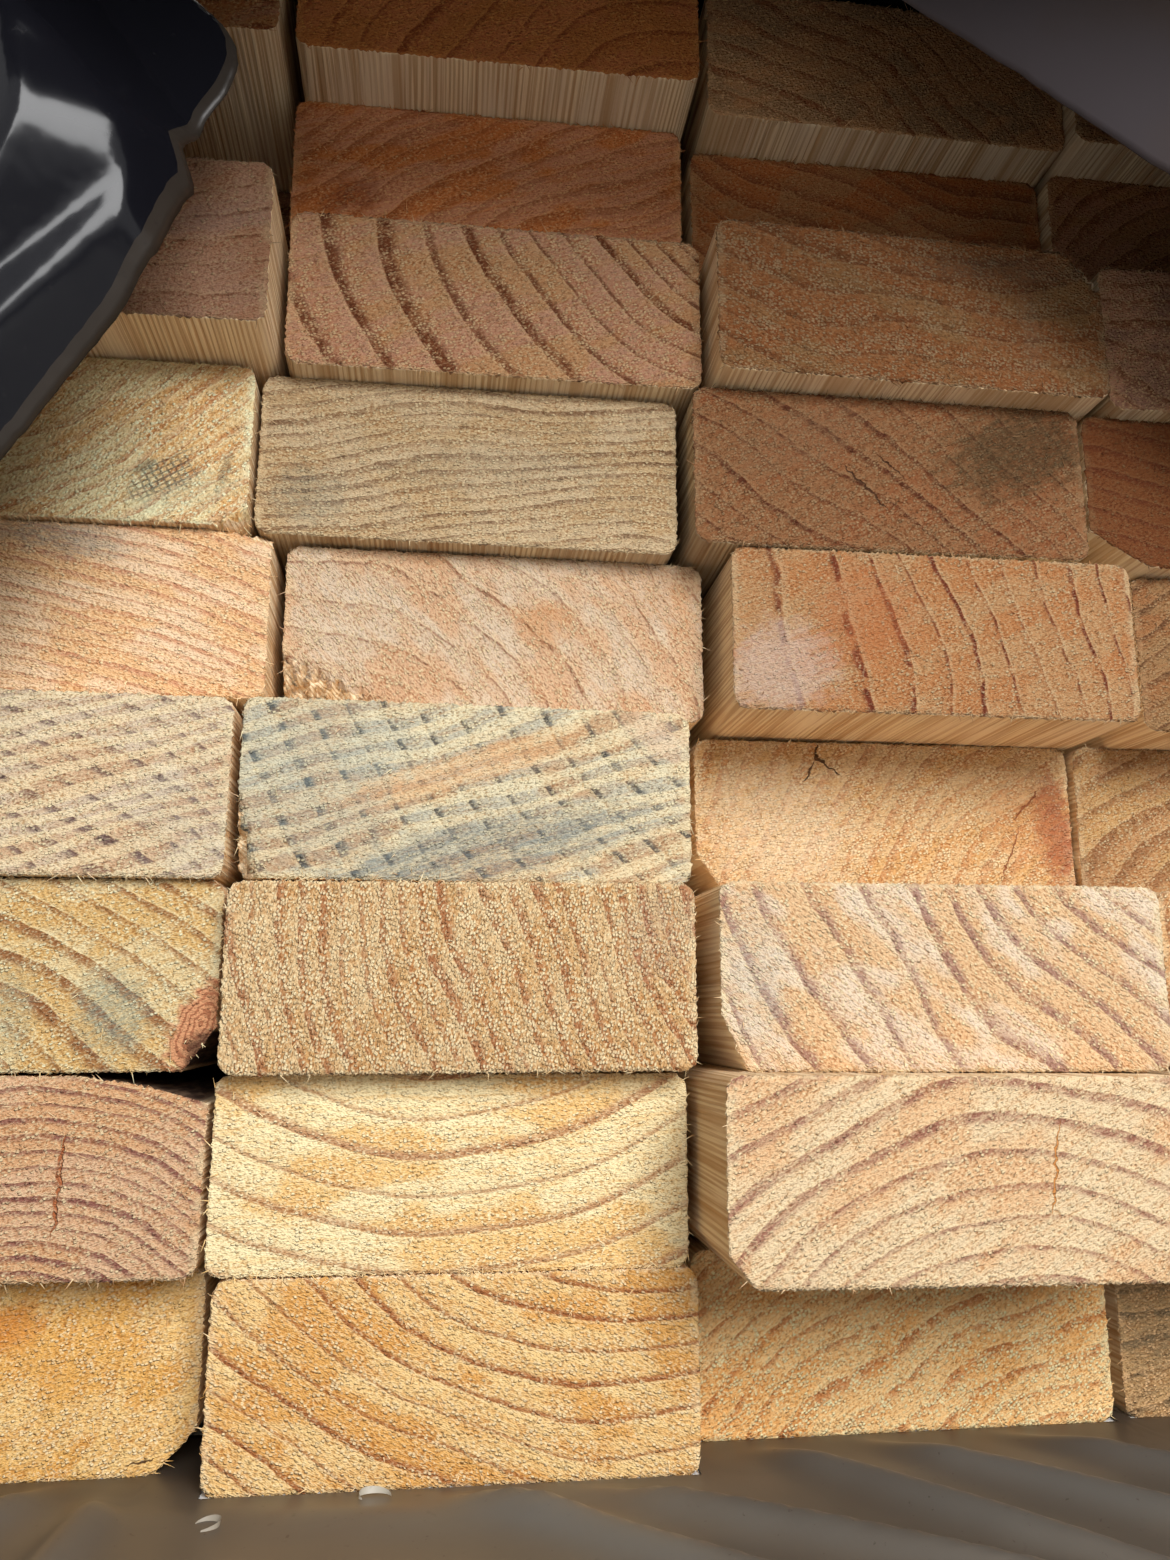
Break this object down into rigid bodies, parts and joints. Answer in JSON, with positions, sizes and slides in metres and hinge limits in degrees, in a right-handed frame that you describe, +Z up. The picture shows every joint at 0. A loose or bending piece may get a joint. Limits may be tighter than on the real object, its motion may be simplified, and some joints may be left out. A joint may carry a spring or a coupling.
{
  "type": "stack of lumber",
  "caption": "Stack of planed pine framing boards lying flat in rows, in a torn black and grey film wrap, ends staggered and sawn square.",
  "frame": {"origin": "centre of the footprint of the wrapped stack, on the floor that it lies on", "axes": "+Y along the boards, from the opened front end to the wrapped far end; +X to the right as seen from the front; +Z up"},
  "size_m": [0.3862, 2.5816, 0.3298],
  "materials": {
    "pine": "planed sides, sawn ends",
    "film": "crumpled film, black inside"
  },
  "bodies": {
    "root": {"board_row1_place1": "pine", "board_row1_place2": "pine", "board_row1_place3": "pine", "board_row1_place4": "pine", "board_row2_place1": "pine", "board_row2_place2": "pine", "board_row2_place3": "pine", "board_row2_place4": "pine", "board_row3_place1": "pine", "board_row3_place2": "pine", "board_row3_place3": "pine", "board_row3_place4": "pine", "board_row4_place1": "pine", "board_row4_place2": "pine", "board_row4_place3": "pine", "board_row4_place4": "pine", "board_row5_place1": "pine", "board_row5_place2": "pine", "board_row5_place3": "pine", "board_row5_place4": "pine", "board_row6_place1": "pine", "board_row6_place2": "pine", "board_row6_place3": "pine", "board_row6_place4": "pine", "board_row7_place1": "pine", "board_row7_place2": "pine", "board_row7_place3": "pine", "board_row7_place4": "pine", "board_row8_place1": "pine", "board_row8_place2": "pine", "board_row8_place3": "pine", "board_row8_place4": "pine", "board_row9_place1": "pine", "board_row9_place2": "pine", "board_row9_place3": "pine", "board_row9_place4": "pine", "film_wrap": "film"}
  },
  "joints": []
}
